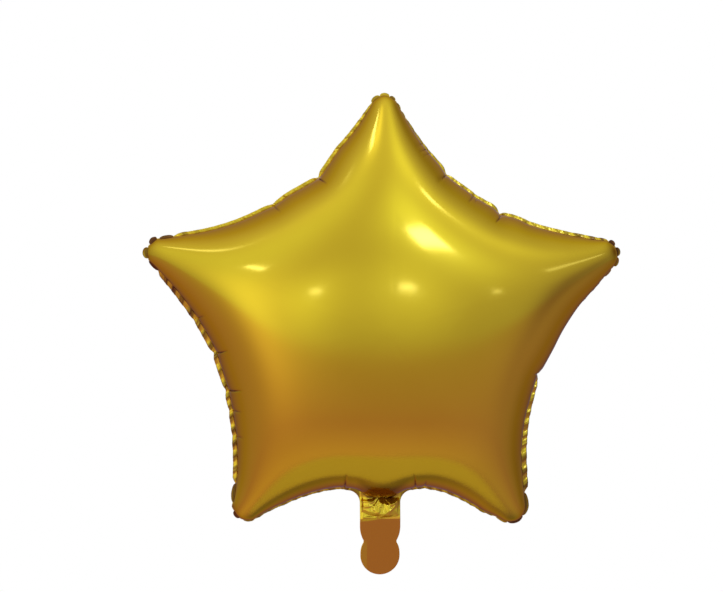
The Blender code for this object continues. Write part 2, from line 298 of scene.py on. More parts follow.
# A length that counts as none, and by how much a point may miss its facet.
TINY = 1e-5
FACET_SLACK = 1e-6

# The crumpled top of the neck: crease corners as (across, up, height above the flat film), in millimetres.
FRONT_CORNERS = (
    (-34, 16, 1),
    (-12, 16, 3),
    (0, 16, 2.4),
    (12, 16, 1.6),
    (34, 16, 1),
    (-19.5, 10, 0.6),
    (-13, 10.6, 2.7),
    (-8, 9.2, 2.7),
    (-1.5, 10.4, 2.9),
    (3, 10.6, 1),
    (9, 11, 1),
    (14, 10.6, 1.2),
    (19.5, 10, 0.6),
    (-19.3, 4, 0.4),
    (-15, 5, 2.6),
    (-11, 3.4, 3.6),
    (-5, 4, 3.2),
    (0.5, 5.2, 3.6),
    (4, 4, 3),
    (9.5, 3.6, 4.2),
    (13.5, 4.8, 4),
    (16, 7, 3),
    (19.3, 3, 0.4),
    (-16, -1, 2.2),
    (-10.5, -3, 3.4),
    (-2.4, -4.8, 4.2),
    (3.5, -5.6, 4),
    (8, -3, 4.2),
    (8.5, -6.8, 2.6),
    (13, -1, 2.4),
    (16.5, -4, 1),
    (-19.3, -4, 0.2),
    (-16, -3.4, 0.8),
    (-10.4, -6.2, 0.7),
    (-2.4, -7.6, 0.9),
    (3.8, -8, 1.2),
    (19.3, -6, 0.2),
    (-16.5, -9, 0.8),
    (-10, -9.8, 1),
    (0, -9.4, 1.2),
    (9, -9.2, 1),
    (15, -9.5, 0.3),
    (-19.3, -13.5, 0),
    (-12, -13, 0.5),
    (0, -11.8, 0.2),
    (10, -11.2, 0),
    (19.3, -12, 0),
    (-21, -20, 0),
    (21, -20, 0),
)
# The back's crumple is the front's, mirrored, narrower, a little higher up and flatter.
BACK_NARROWING = 0.92
BACK_LIFT = 0.0006
BACK_FLATTENING = 0.85
BACK_CORNERS = tuple(
    (-across * BACK_NARROWING, up + BACK_LIFT / MM, BACK_FLATTENING * height)
    for across, up, height in FRONT_CORNERS
)

# Fine folds there: from, to, height and half width, in millimetres.
FRONT_FOLDS = (
    (-19, 7, -5, 6.6, 0.6, 1.1),
    (-18, 1.2, -6, 3, 0.5, 0.8),
    (-18.5, -8, -3, -8.8, 0.4, 0.8),
    (0.6, 8.5, 0.6, 1, 1, 0.7),
    (-8.5, 1.8, -3, -4, 0.5, 0.6),
    (-5.8, 3, -2.6, -4, 0.5, 0.5),
    (-3.4, 2.2, -2.2, -4.2, 0.5, 0.5),
    (-0.8, 2.2, -1.8, -4.2, 0.5, 0.5),
    (1.6, 2, -1.4, -4.2, 0.5, 0.5),
    (15, 3, 8.6, -2.8, 0.9, 0.8),
    (14.2, 9.2, 17.2, 5, 0.8, 0.9),
)
BACK_FOLDS = tuple((-a, b, -c, d, rise, width) for a, b, c, d, rise, width in FRONT_FOLDS[1:])

# The lacquered metal's colours: seen straight on, at a low angle, the colour of painted shade in creases and
# folds, and where it is pressed flat.
GOLD = (0.72, 0.54, 0.023)
EDGE_TINT = (0.64, 0.42, 0.23)
PAINTED_SHADE_COLOUR = (0.09, 0.019, 0.004)
PRESSED_GOLD = (0.66, 0.33, 0.022)
# Each foil: name, roughness, weight of the clear coat, and the scale and height of the film's waves.
SKIN_FOIL = ("gold_foil", 0.125, 0.15, 14.0, 0.00006)
EDGE_FOIL = ("sealed_foil", 0.14, 0.3, 260.0, 0.00005)
COAT_ROUGHNESS = 0.1
# How much lacquer (red, green, blue) and gloss vary over the foil, and in what pattern.
LACQUER_CHANGE = (0.025, 0.035, 0.1)
GLOSS_CHANGE = 0.015
CLOUD_SCALE = 22.0
CLOUD_DETAIL = 3.0
WAVE_DETAIL = 2.0

# The studio. Directions are seen from the balloon: azimuth from straight in front towards +X, and elevation.
ROOM_TONES = (
    # elevation, and the room's colour there
    (-90, (0.80, 0.35, 0.45)),
    (-55, (0.75, 0.45, 0.45)),
    (-30, (0.55, 0.30, 0.45)),
    (-10, (0.55, 0.40, 0.45)),
    (-5, (0.60, 0.55, 0.55)),
    (5, (0.30, 0.30, 0.30)),
    (25, (1.35, 1.35, 1.35)),
    (50, (1.20, 1.20, 1.20)),
    (90, (1.00, 1.00, 1.00)),
)
ROOM_ZONES = (
    # name, azimuth, elevation, spread in degrees, and how much lighter or darker in red, green and blue
    ("left wall", -40, 0, 15, (1.0, 1.1, 1.0)),
    ("dark above the middle", -10, 20, 30, (-0.2, -0.25, -0.25)),
    ("right wall", 70, -5, 10, (-0.3, -0.4, -0.3)),
    ("far right", 115, 15, 25, (-0.7, -0.8, -0.7)),
    ("low right", 60, -40, 45, (-0.15, -0.1, 0.3)),
    ("below right", 140, -70, 25, (-0.6, -0.5, -0.4)),
    ("back left", -155, 50, 25, (-0.2, -0.3, -0.2)),
    ("far left", -130, -5, 40, (-0.25, -0.3, -0.1)),
    ("glow under small_right", 8, 5, 7, (0.5, 0.65, 0.5)),
    ("glow under small_left", -14, 5, 7, (0.5, 0.65, 0.5)),
    ("glow round the key", 20, 30, 12, (0.75, 1.0, 0.8)),
    ("glow round the fill", -50, 35, 18, (0.25, 0.35, 0.3)),
    ("glow high left", -55, 70, 6, (0.7, 0.7, 0.7)),
    ("glow high right", 55, 55, 10, (0.45, 0.55, 0.45)),
    ("dark behind left", -170, -10, 12, (-0.3, -0.3, -0.3)),
    ("dark behind right", 165, -10, 12, (-0.4, -0.4, -0.4)),
)
SOFT_BOXES = (
    # name, azimuth, elevation, width, height and tilt in degrees, brightness
    ("key", 20.3, 27.3, 12.0, 7.0, 24, 9.0),
    ("fill", -41.5, 27.2, 9.0, 1.8, -30, 7.5),
    ("high_left", -74.0, 65.5, 14.0, 2.4, 5, 8.0),
    ("high_right", 57.0, 49.0, 4.6, 1.8, 7, 8.0),
    ("small_right", 8.0, 7.0, 3.4, 1.3, 5, 9.0),
    ("small_left", -14.3, 8.4, 3.4, 0.9, -15, 9.0),
    ("faint_right", 34.8, 9.6, 3.4, 0.8, 10, 6.0),
    ("edge_left", -80.5, 52.0, 9.0, 3.0, 0, 2.6),
    ("edge_right", 69.0, 25.3, 18.0, 3.4, 14, 1.5),
)
DARKEST_ROOM = 0.08
BACKDROP_SPREAD = 6
LAMP_DISTANCE = 2.6
# Blue, because the photo's highlights are paler than gold mirrors a neutral lamp.
LAMP_COLOUR = (0.24, 0.27, 1.0)
# Watts for each square metre of an area lamp that give it the brightness 1.
LAMP_POWER = 4

# The camera: its direction from the balloon, and the point it aims at, beside and above the star's centre.
CAMERA_DIRECTION = (-3, 3)
CAMERA_DISTANCE = 2.184
CAMERA_AIM = (-0.0196, 0.0278)
LENS_LENGTH = 115
SENSOR_WIDTH = 36

# The floor, and the front part of it that the foil mirrors. A fade is given as shares of the radius.
FLOOR_DROP = 0.3
FLOOR_RADIUS = 0.46
FLOOR_FADE = (0.5, 0.96)
FLOOR_COLOUR = (0.74, 0.62, 0.50)
FLOOR_PALENESS = 0.55
FLOOR_RINGS = 8
FLOOR_TURNS = 96
FRONT_RADIUS = 0.22
FRONT_FADE = (0.45, 0.96)
FRONT_MIDDLE = 0.12
FRONT_SQUEEZE = 0.75

# How finely the skin is made. A column step is a row, and how many seam columns apart its points lie.
EDGE_COLUMNS = 208
TIP_COLUMNS = 32
SKIN_ROWS = 52
COLUMN_STEPS = ((0, 1), (24, 2), (36, 4), (43, 8), (48, 16))

# How far apart shader nodes are laid out in the editor.
NODE_STEP = 200


def heading(bearing):
    """The unit vector in the star's plane at a bearing clockwise from straight up, as (x, z)."""
    return np.array([math.sin(math.radians(bearing)), math.cos(math.radians(bearing))])


def tip_corners(bearing, reach):
    """The two ends of a point's blunt end: back from its reach by the bulge, half its width to each side."""
    base = (reach - TIP_BULGE) * heading(bearing)
    across = TIP_HALF_WIDTH * heading(bearing + 90)
    return base - across, base + across


def tip_curve(bearing, reach, shares):
    """A point's blunt end: the chord between its corners, bowed out by a parabola of the bulge's height."""
    before, after = tip_corners(bearing, reach)
    bow = TIP_BULGE * (1 - (2 * shares - 1) ** 2)
    return before + np.outer(shares, after - before) + np.outer(bow, heading(bearing))


def edge_curve(start, notch, end, straight, shares):
    """One edge: an arc, a straight stretch across the notch and an arc, walked at an even pace.

    An arc that leaves the straight stretch without a corner and ends a, b away from it has the
    radius (a squared + b squared) / 2b.
    """
    out = notch / np.linalg.norm(notch)
    along = np.array([out[1], -out[0]])
    turns, lengths, radii = [], [], []
    for corner in (start, end):
        side = abs((corner - notch) @ along) - straight / 2
        rise = (corner - notch) @ out
        radii.append((side**2 + rise**2) / (2 * rise))
        turns.append(math.atan2(side, radii[-1] - rise))
        lengths.append(radii[-1] * turns[-1])
    travelled = shares * (sum(lengths) + straight)
    first = np.clip(lengths[0] - travelled, 0, None) / radii[0]
    last = np.clip(travelled - lengths[0] - straight, 0, None) / radii[1]
    level = np.clip(travelled - lengths[0], 0, straight) - straight / 2
    sideways = level - radii[0] * np.sin(first) + radii[1] * np.sin(last)
    rise = radii[0] * (1 - np.cos(first)) + radii[1] * (1 - np.cos(last))
    return notch + np.outer(sideways, along) + np.outer(rise, out)


def drop_throat(line):
    """Lowers the bottom edge where the neck leaves it: level in the middle, a smooth step at each side."""
    bottom_notch = POINTS[2][2]
    dip = CENTRE_HEIGHT - THROAT_RISE - bottom_notch
    away = np.abs(line[:, 0] + CENTRE_OFFSET)
    share = np.clip((THROAT_REACH - away) / (THROAT_REACH - THROAT_LEVEL), 0, 1)
    lowered = line.copy()
    lowered[:, 1] -= np.where(line[:, 1] < 0, dip * share**2 * (3 - 2 * share), 0)
    return lowered


def outward_normals(line):
    """Unit normals of a closed clockwise line: each is the step between its neighbours, turned a quarter."""
    along = np.roll(line, -1, axis=0) - np.roll(line, 1, axis=0)
    normals = np.stack([-along[:, 1], along[:, 0]], axis=1)
    return normals / np.linalg.norm(normals, axis=1)[:, None]


def bearings_of(line):
    """The bearing of each point of the line from the centre, rising clockwise."""
    return np.degrees(np.unwrap(np.arctan2(line[:, 0], line[:, 1])))


def lengths_along(line):
    """How far along the closed line each point lies, and the whole length."""
    steps = np.linalg.norm(np.roll(line, -1, axis=0) - line, axis=1)
    return np.concatenate([[0], np.cumsum(steps)[:-1]]), steps.sum()


def distance_from(along, whole, place):
    """The shorter way round the closed line from each point to a place on it."""
    away = np.abs(along - place)
    return np.minimum(away, whole - away)


def crowded_shares(places, count):
    """Shares from 0 to 1 that crowd round the places: equal steps of the density 1 plus a bell at each."""
    fine = np.linspace(0, 1, FINE_PROBES)
    density = np.ones(FINE_PROBES)
    for place in places:
        density += CREASE_CROWDING * np.exp(-(((fine - place) / CROWDING_SPREAD) ** 2))
    total = np.concatenate([[0], np.cumsum((density[1:] + density[:-1]) / 2)])
    return np.interp(np.arange(count) / count * total[-1], total, fine)


def seal_line(finer=1):
    """The seal line of the solid about the star's centre, walked clockwise from the top point."""
    tip_shares = np.arange(TIP_COLUMNS * finer) / (TIP_COLUMNS * finer)
    lines = []
    for index, (bearing, reach, notch, straight) in enumerate(POINTS):
        next_bearing, next_reach = POINTS[(index + 1) % len(POINTS)][:2]
        next_bearing += 360 * (next_bearing < bearing)
        lines.append(tip_curve(bearing, reach, tip_shares))
        start = tip_corners(bearing, reach)[1]
        end = tip_corners(next_bearing, next_reach)[0]
        middle = notch * heading((bearing + next_bearing) / 2)
        probe = bearings_of(edge_curve(start, middle, end, straight, np.linspace(0, 1, PROBES)))
        probe += 360 * round((bearing - probe[0]) / 360)
        creased = [row[0] for row in CREASES if probe[0] < row[0] < probe[-1]]
        places = np.interp(creased, probe, np.linspace(0, 1, PROBES))
        shares = crowded_shares(places, EDGE_COLUMNS * finer)
        lines.append(edge_curve(start, middle, end, straight, shares))
    return drop_throat(np.concatenate(lines))


def strip_table(bearings, column):
    """One column of the strip's table at these bearings, by straight lines between its rows."""
    rows = np.array(STRIP)
    return np.interp(bearings % 360, rows[:, 0], rows[:, column], period=360)


def skin_line(finer=1):
    """The skin's own seam: the seal line swelled out by the strip's table and pulled in at the creases.

    A crease pulls as 1 minus the share of its reach, to a power.
    """
    line = seal_line(finer)
    normals = outward_normals(line)
    bearings = bearings_of(line)
    along, whole = lengths_along(line)
    shift = MM * strip_table(bearings, SWELL) * (1 - neck_nearness(line))
    for bearing, pull, before, after, *_ in CREASES:
        away = (along - np.interp(bearing, bearings, along) + whole / 2) % whole - whole / 2
        share = np.where(away < 0, -away / before, away / after) / MM
        shift -= MM * pull * np.clip(1 - share, 0, None) ** PULL_POWER
    return line + shift[:, None] * normals


def neck_nearness(line):
    """1 across the neck's throat and 0 away from it, with a straight slope between."""
    away = np.abs(line[:, 0] + CENTRE_OFFSET)
    near = np.clip((NECK_WIDTH / 2 + NECK_FILLET - away) / (THROAT_SLOPE * NECK_FILLET), 0, 1)
    return np.where(line[:, 1] < 0, near, 0)


def band(outer, inner):
    """Triangles between two closed rings, where the inner one has as many points or half as many."""
    inner_next = np.roll(inner, -1)
    if len(outer) == len(inner):
        outer_next = np.roll(outer, -1)
        pairs = [(outer, outer_next, inner_next), (outer, inner_next, inner)]
    else:
        left, middle = outer[::2], outer[1::2]
        right = np.roll(left, -1)
        pairs = [(left, middle, inner), (middle, inner_next, inner), (middle, right, inner_next)]
    return np.concatenate([np.stack(corners, axis=1) for corners in pairs])


def panel_grid(line):
    """The flat panel: rings that shrink towards the centre as 1 - t squared, and its triangles."""
    points, rings = [], []
    start = 0
    for row in range(SKIN_ROWS):
        skip = [step for first, step in COLUMN_STEPS if first <= row][-1]
        share = 1 - (row / SKIN_ROWS) ** 2
        ring = line[::skip] * share
        points.append(ring)
        rings.append(np.arange(start, start + len(ring)))
        start += len(ring)
    faces = [band(outer, inner) for outer, inner in zip(rings[:-1], rings[1:])]
    last = rings[-1]
    faces.append(np.stack([last, np.roll(last, -1), np.full(len(last), start)], axis=1))
    points.append(np.zeros((1, 2)))
    return np.concatenate(points), np.concatenate(faces)


def membrane(points, faces, fixed):
    """A film held at its seam and pushed evenly: the Laplacian of its height is -1.

    Linear elements on the triangles with cotangent weights, solved by conjugate gradients.
    """
    count = len(points)
    corners = points[faces]
    first, second, weight = [], [], []
    load = np.zeros(count)
    for i in range(3):
        j, k = (i + 1) % 3, (i + 2) % 3
        u = corners[:, j] - corners[:, i]
        v = corners[:, k] - corners[:, i]
        cross = np.abs(u[:, 0] * v[:, 1] - u[:, 1] * v[:, 0])
        first.append(faces[:, j])
        second.append(faces[:, k])
        weight.append(0.5 * (u * v).sum(axis=1) / cross)
        load += np.bincount(faces[:, i], cross / 6, count)
    first, second, weight = (np.concatenate(part) for part in (first, second, weight))
    diagonal = np.bincount(first, weight, count) + np.bincount(second, weight, count)
    free = np.arange(count) >= fixed

    def stretched(height):
        pulled = np.bincount(first, weight * height[second], count)
        pulled += np.bincount(second, weight * height[first], count)
        return (diagonal * height - pulled) * free

    height = np.zeros(count)
    rest = load * free
    scaled = rest / diagonal
    search = scaled.copy()
    energy = rest @ scaled
    goal = energy * SOLVED_SHARE
    for _ in range(MOST_ROUNDS):
        force = stretched(search)
        step = energy / (search @ force)
        height += step * search
        rest -= step * force
        scaled = rest / diagonal
        energy, before = rest @ scaled, energy
        if energy < goal:
            break
        search = scaled + energy / before * search
    return np.maximum(height, 0)


def bulge(points, faces, seam_count):
    """The bulge's height: the root of twice the membrane, which makes the arms round in section.

    The crown is lowered to the solid's depth, by a share that grows with the height to a power.
    """
    height = np.sqrt(2 * membrane(points, faces, seam_count))
    full = height.max()
    return height * (1 - (1 - HALF_DEPTH / full) * (height / full) ** CROWN_POWER)


def vertex_normals(points, faces):
    """Unit normals at the points: the sum of the cross products of the triangles around each."""
    corners = points[faces]
    cross = np.cross(corners[:, 1] - corners[:, 0], corners[:, 2] - corners[:, 0])
    total = np.zeros((len(points), 3))
    for axis in range(3):
        for corner in range(3):
            total[:, axis] += np.bincount(faces[:, corner], cross[:, axis], len(points))
    return total / np.linalg.norm(total, axis=1)[:, None]


def valley_depths(flat, line):
    """How deep the creases lie at each flat point: sharp grooves that fade out from the seam to their ends.

    Beside a crease the depth falls by e each groove width, and along it in a straight line.
    """
    bearings = bearings_of(line)
    depth = np.zeros(len(flat))
    for bearing, _, _, _, across, up, deep in CREASES:
        start = line[np.argmin(np.abs(bearings - bearing))]
        run = MM * np.array([across, up])
        length = np.hypot(*run)
        share = (flat - start) @ run / length**2
        beside = np.abs((flat - start) @ np.array([run[1], -run[0]])) / length
        fade = np.clip(1 - share, 0, 1) * np.clip(share * length / CREASE_ONSET, 0, 1)
        depth += MM * deep * fade * np.exp(-beside / CREASE_WIDTH)
    return depth


def overhang_shade(flat):
    """How much painted shade lies under the belly, just over the neck, with straight fades round it."""
    across = flat[:, 0] + CENTRE_OFFSET
    above = flat[:, 1] + CENTRE_HEIGHT - throat_height(across)
    near = np.clip((NECK_WIDTH / 2 + OVERHANG_SIDE - np.abs(across)) / OVERHANG_SIDE_FADE, 0, 1)
    return OVERHANG_SHADE * np.clip((OVERHANG_DEPTH - above) / OVERHANG_FADE, 0, 1) * near


def skin_mesh():
    """The whole inflated skin: the front panel bulged towards -Y, the back one towards +Y, with one seam."""
    line = skin_line()
    flat, faces = panel_grid(line)
    height = bulge(flat, faces, len(line))
    depth = valley_depths(flat, line)
    # Painted shade: in the creases, by their depth, and under the belly over the neck.
    painted_shade = np.clip(depth / CREASE_SHADE_DEPTH + overhang_shade(flat), 0, 1)
    sides = []
    for side in (-1, 1):
        points = np.stack([flat[:, 0], side * height, flat[:, 1]], axis=1)
        turned = faces[:, ::-1] if side < 0 else faces
        points -= vertex_normals(points, turned) * depth[:, None]
        sides.append((points, turned))
    seam = len(line)
    front, front_faces = sides[0]
    back, back_faces = sides[1]
    shifted = np.where(back_faces < seam, back_faces, back_faces + len(front) - seam)
    points = np.concatenate([front, back[seam:]]) + [CENTRE_OFFSET, 0, CENTRE_HEIGHT]
    return points, np.concatenate([front_faces, shifted]), np.concatenate([painted_shade, painted_shade[seam:]])


def fold_line(whole, steps, seed):
    """Folds round the strip: places a random step apart, and random heights that go up and down by turns."""
    random = np.random.default_rng(seed)
    places = np.cumsum(random.uniform(*steps, int(whole / steps[0])))
    places = places[places < whole - steps[0]]
    heights = random.uniform(LEAST_FOLD, 1, len(places)) * np.where(np.arange(len(places)) % 2, -1, 1)
    return places, heights


def lobe_profile(along, whole, bearings):
    """How far the lobes round the tips take over from the plain strip, stand out and carry painted shade.

    A lobe stands out as half an ellipse over its length.
    """
    inside, stand, dark = np.zeros(len(along)), np.zeros(len(along)), np.zeros(len(along))
    for bearing, half, height, shade_amount in LOBES:
        half *= MM
        turn = 0 if bearings[0] < bearing < bearings[-1] else 360
        away = distance_from(along, whole, np.interp(bearing - turn, bearings, along))
        lobe = MM * height * np.sqrt(np.clip(1 - (away / half) ** 2, 0, 1))
        dark = np.where(lobe > stand, shade_amount, dark)
        stand = np.maximum(stand, lobe)
        inside = np.maximum(inside, np.clip((LOBE_ZONE / 2 + half - away) / (LOBE_ZONE / 2), 0, 1))
    return inside, stand, dark


def strip_widths(line, stand, inside, lean):
    """How wide the strip is: the table's value or the lobe's, less at creases and almost none at the neck."""
    along, whole = lengths_along(line)
    bearings = bearings_of(line)
    plain = MM * strip_table(bearings, SHOWN)
    for bearing, pull, *_ in CREASES:
        away = distance_from(along, whole, np.interp(bearing, bearings, along))
        plain *= 1 - min(HIDDEN_SHARE, MM * pull / HIDING_PULL) * np.exp(-((away / HIDING_REACH) ** 2))
    shown = np.maximum(stand, plain * (1 - inside)) * (1 - neck_nearness(line))
    return (shown + LEAST_SHOWN) / np.cos(lean)


def strip_mesh():
    """The seal strip: a thin closed band outside the skin, leaning back, ruffled and gathered into lobes."""
    line = skin_line(finer=2)
    normals = outward_normals(line)
    along, whole = lengths_along(line)
    bearings = bearings_of(line)
    inside, stand, lobe_shade = lobe_profile(along, whole, bearings)
    lean = np.radians(strip_table(bearings, LEAN) * (1 - inside) + LOBE_LEAN * inside)
    width = strip_widths(line, stand, inside, lean)
    height = MM * strip_table(bearings, RUFFLE) * (1 - neck_nearness(line)) * (1 - LOBE_CALM * inside)
    shade_amount = strip_table(bearings, PAINTED_FOLD_SHADE)
    coarse = fold_line(whole, COARSE_FOLDS, FOLD_SEED)
    fine = fold_line(whole, FINE_FOLDS, FOLD_SEED + 1)
    outward = np.stack([normals[:, 0], np.zeros(len(line)), normals[:, 1]], axis=1)
    behind = np.array([0.0, 1.0, 0.0])
    out_way = np.cos(lean)[:, None] * outward + np.sin(lean)[:, None] * behind
    face_way = np.cos(lean)[:, None] * behind - np.sin(lean)[:, None] * outward
    seam = np.stack([line[:, 0], np.zeros(len(line)), line[:, 1]], axis=1)
    loop, folds = [], []
    for side, order in ((-1, STRIP_ROWS), (1, STRIP_ROWS[::-1])):
        for way in order:
            out = max(way, 0)
            place = along + FOLD_SLANT * way * width
            wave = COARSE_SHARE * np.interp(place, *coarse, period=whole)
            wave += FINE_SHARE * np.interp(place, *fine, period=whole)
            offset = height * wave * min(2 * out, 1) + side * SEAL_THICKNESS / 2
            bowl = LOBE_BOWL * stand * inside * math.sin(math.pi * out * LOBE_BOWL_PART)
            points = seam + (way * width)[:, None] * out_way + offset[:, None] * face_way
            loop.append(points + bowl[:, None] * behind)
            # Painted shade: in the valleys between the folds, and over the lobes.
            between = shade_amount * np.clip(SHADE_LEVEL - SHADE_GAIN * wave, 0, 1) * (1 - inside)
            folds.append(np.clip(between + lobe_shade * inside, 0, 1))
    points = np.concatenate(loop) + [CENTRE_OFFSET, 0, CENTRE_HEIGHT]
    rows = np.arange(len(points)).reshape(len(loop), len(line))
    faces = np.concatenate([band(rows[i], rows[(i + 1) % len(rows)]) for i in range(len(rows))])
    return points, faces[:, ::-1], np.concatenate(folds)


def neck_half_width(z):
    """Half the neck's width: a quarter-circle fillet, a straight side, an elliptic waist and a round tab."""
    rise = np.clip((z - THROAT_RISE + NECK_BORDER) / NECK_FILLET, 0, 1)
    fillet = NECK_FILLET * (1 - np.sqrt(1 - rise**2))
    curve = np.clip((-z - SHOULDER_DROP) / SHOULDER_CURVE, 0, SHOULDER_END)
    upper = NECK_WIDTH / 2 * np.sqrt(1 - curve**2) + fillet
    above = np.clip((z + TAB_CENTRE_DROP) / TAB_RADIUS, 0, 1)
    below = np.clip((-z - TAB_CENTRE_DROP) / TAB_RADIUS, 0, 1)
    round_end = (1 - above**TAB_POWER) ** (1 / TAB_POWER)
    tab = TAB_RADIUS * np.where(z > -TAB_CENTRE_DROP, round_end, np.sqrt(1 - below**2))
    return np.where(z > -WAIST_DROP, upper, tab)


def neck_lean(z):
    """How far the neck's middle stands forward: the tab hangs back from the ribbon's place at a slope."""
    slope = math.tan(math.radians(TAB_LEAN))
    tab = (z + TAB_CENTRE_DROP) * slope
    top = (TAB_CENTRE_DROP - FLAT_DROP) * slope
    fade = np.clip((THROAT_RISE - z) / (THROAT_RISE + FLAT_DROP), 0, 1)
    return np.where(z < -FLAT_DROP, tab, top * fade)


def facets_over(corners, x, z):
    """Heights over x and z of flat facets between crease corners: straight-line blends in each triangle."""
    corners = MM * np.array(corners)
    flat = [Vector(corner[:2]) for corner in corners]
    found = delaunay_2d_cdt(flat, [], [], 0, TINY)
    height = np.full(x.shape, np.nan)
    places = np.array([list(place) for place in found[0]])
    sources = [group[0] for group in found[3]]
    for triangle in found[2]:
        a, b, c = places[list(triangle)]
        heights = corners[[sources[corner] for corner in triangle], 2]
        area = (b[0] - a[0]) * (c[1] - a[1]) - (c[0] - a[0]) * (b[1] - a[1])
        to_b = ((x - a[0]) * (c[1] - a[1]) - (c[0] - a[0]) * (z - a[1])) / area
        to_c = ((b[0] - a[0]) * (z - a[1]) - (x - a[0]) * (b[1] - a[1])) / area
        inside = (to_b >= -FACET_SLACK) & (to_c >= -FACET_SLACK) & (to_b + to_c <= 1 + FACET_SLACK)
        blend = heights[0] + to_b * (heights[1] - heights[0]) + to_c * (heights[2] - heights[0])
        height = np.where(inside, blend, height)
    return np.nan_to_num(height)


def soften(heights, times):
    """Each round replaces a height by half itself and an eighth of each of its four neighbours."""
    for _ in range(times):
        edge = np.pad(heights, 1, mode="edge")
        around = edge[:-2, 1:-1] + edge[2:, 1:-1] + edge[1:-1, :-2] + edge[1:-1, 2:]
        heights = heights / 2 + around / 8
    return heights


def folds_over(folds, x, z):
    """Small straight folds: each is a ridge that swells in its middle and falls off beside it as a bell."""
    height = np.zeros(x.shape)
    for x_start, z_start, x_end, z_end, rise, width in MM * np.array(folds):
        run = np.array([x_end - x_start, z_end - z_start])
        length = np.hypot(*run)
        share = ((x - x_start) * run[0] + (z - z_start) * run[1]) / length**2
        beside = ((x - x_start) * run[1] - (z - z_start) * run[0]) / length
        swell = np.clip(4 * share * (1 - share), 0, 1) ** 0.5
        height += rise * swell * np.exp(-((beside / width) ** 2))
    return height


def fan_of_folds(x, z):
    """Folds that spread down from a gathered point: a squared sine of the bearing, in a ring about it.

    A second, slower sine shifts the bearing, so that the folds lie unevenly.
    """
    turn = np.arctan2(x - FAN_TOP[0], FAN_TOP[1] - z)
    away = np.hypot(x - FAN_TOP[0], FAN_TOP[1] - z)
    ridges = np.sin(FAN_FOLDS * turn + FAN_SHIFT * np.sin(FAN_SHIFT_PACE * turn)) ** 2
    return FAN_HEIGHT * ridges * np.exp(-(((away - FAN_REACH) / (FAN_SPREAD * FAN_REACH)) ** 2))


def throat_height(x):
    """The height of the skin's bottom seam above the ribbon's place, over x."""
    line = skin_line()
    bearings = bearings_of(line)
    bottom = line[(bearings > THROAT_BEARINGS[0]) & (bearings < THROAT_BEARINGS[1])][::-1]
    return np.interp(x, bottom[:, 0] + CENTRE_OFFSET, bottom[:, 1] + CENTRE_HEIGHT)


def neck_grid():
    """The neck's grid over (x, z), and half its width at each point. Columns crowd towards its sides.

    The top row follows the skin's seam, and the rows below it come back to level one by one.
    """
    crowding = math.pi / 2 * COLUMN_CROWDING
    across = np.sin(np.linspace(-1, 1, NECK_COLUMNS) * crowding) / math.sin(crowding)
    end = -TAB_CENTRE_DROP - TAB_RADIUS
    top = THROAT_RISE - NECK_BORDER + NECK_FILLET
    flat_start = -FLAT_DROP - CRUMPLE_MARGIN
    upper = np.linspace(top, flat_start, CRUMPLE_ROWS)
    lower = flat_start + (end - flat_start) * np.sin(np.linspace(0, math.pi / 2, TAB_ROWS + 1)[1:])
    level = np.repeat(np.concatenate([upper, lower])[:, None], NECK_COLUMNS, axis=1)
    half = neck_half_width(level)
    x = half * across
    x[-1] = TAB_FOOT * across
    rise = np.clip((level - flat_start) / (top - flat_start), 0, 1) ** RISE_POWER
    hem = np.clip((1 - np.abs(across)) / NECK_HEM, 0, 1)
    return x, level + rise * hem * (throat_height(x) + NECK_OVERLAP - top), half


def sheet_faces(rows, columns):
    """Triangles of two grids of points laid back to back, and of the narrow wall that joins their borders."""
    grid = np.arange(rows * columns).reshape(rows, columns)
    corners = [grid[:-1, :-1], grid[1:, :-1], grid[1:, 1:], grid[:-1, 1:]]
    quads = np.stack([corner.ravel() for corner in corners], axis=1)
    front = np.concatenate([quads[:, [0, 1, 2]], quads[:, [0, 2, 3]]])
    back = front[:, ::-1] + rows * columns
    near = np.concatenate([grid[:, 0], grid[-1, 1:], grid[-2::-1, -1], grid[0, -2:0:-1]])
    next_near = np.roll(near, -1)
    far, next_far = near + rows * columns, next_near + rows * columns
    wall = [np.stack([near, far, next_far], axis=1), np.stack([near, next_far, next_near], axis=1)]
    return np.concatenate([front, back] + wall)


def pressed_share(x, z, inward, flat_line):
    """How far the neck is pressed flat: the whole tab, but less in the band down its side and at its rim."""
    side = np.clip((BAND_EDGE - x) / BAND_EDGE_FADE, 0, 1) * np.clip((BAND_TOP - z) / BAND_TOP_FADE, 0, 1)
    rim = RIM_PRESSED + (1 - RIM_PRESSED) * np.clip(inward / RIM_WIDTH, 0, 1)
    return np.clip((flat_line - z) / PRESSED_FADE, 0, 1) * (1 - BAND_PALENESS * side) * rim


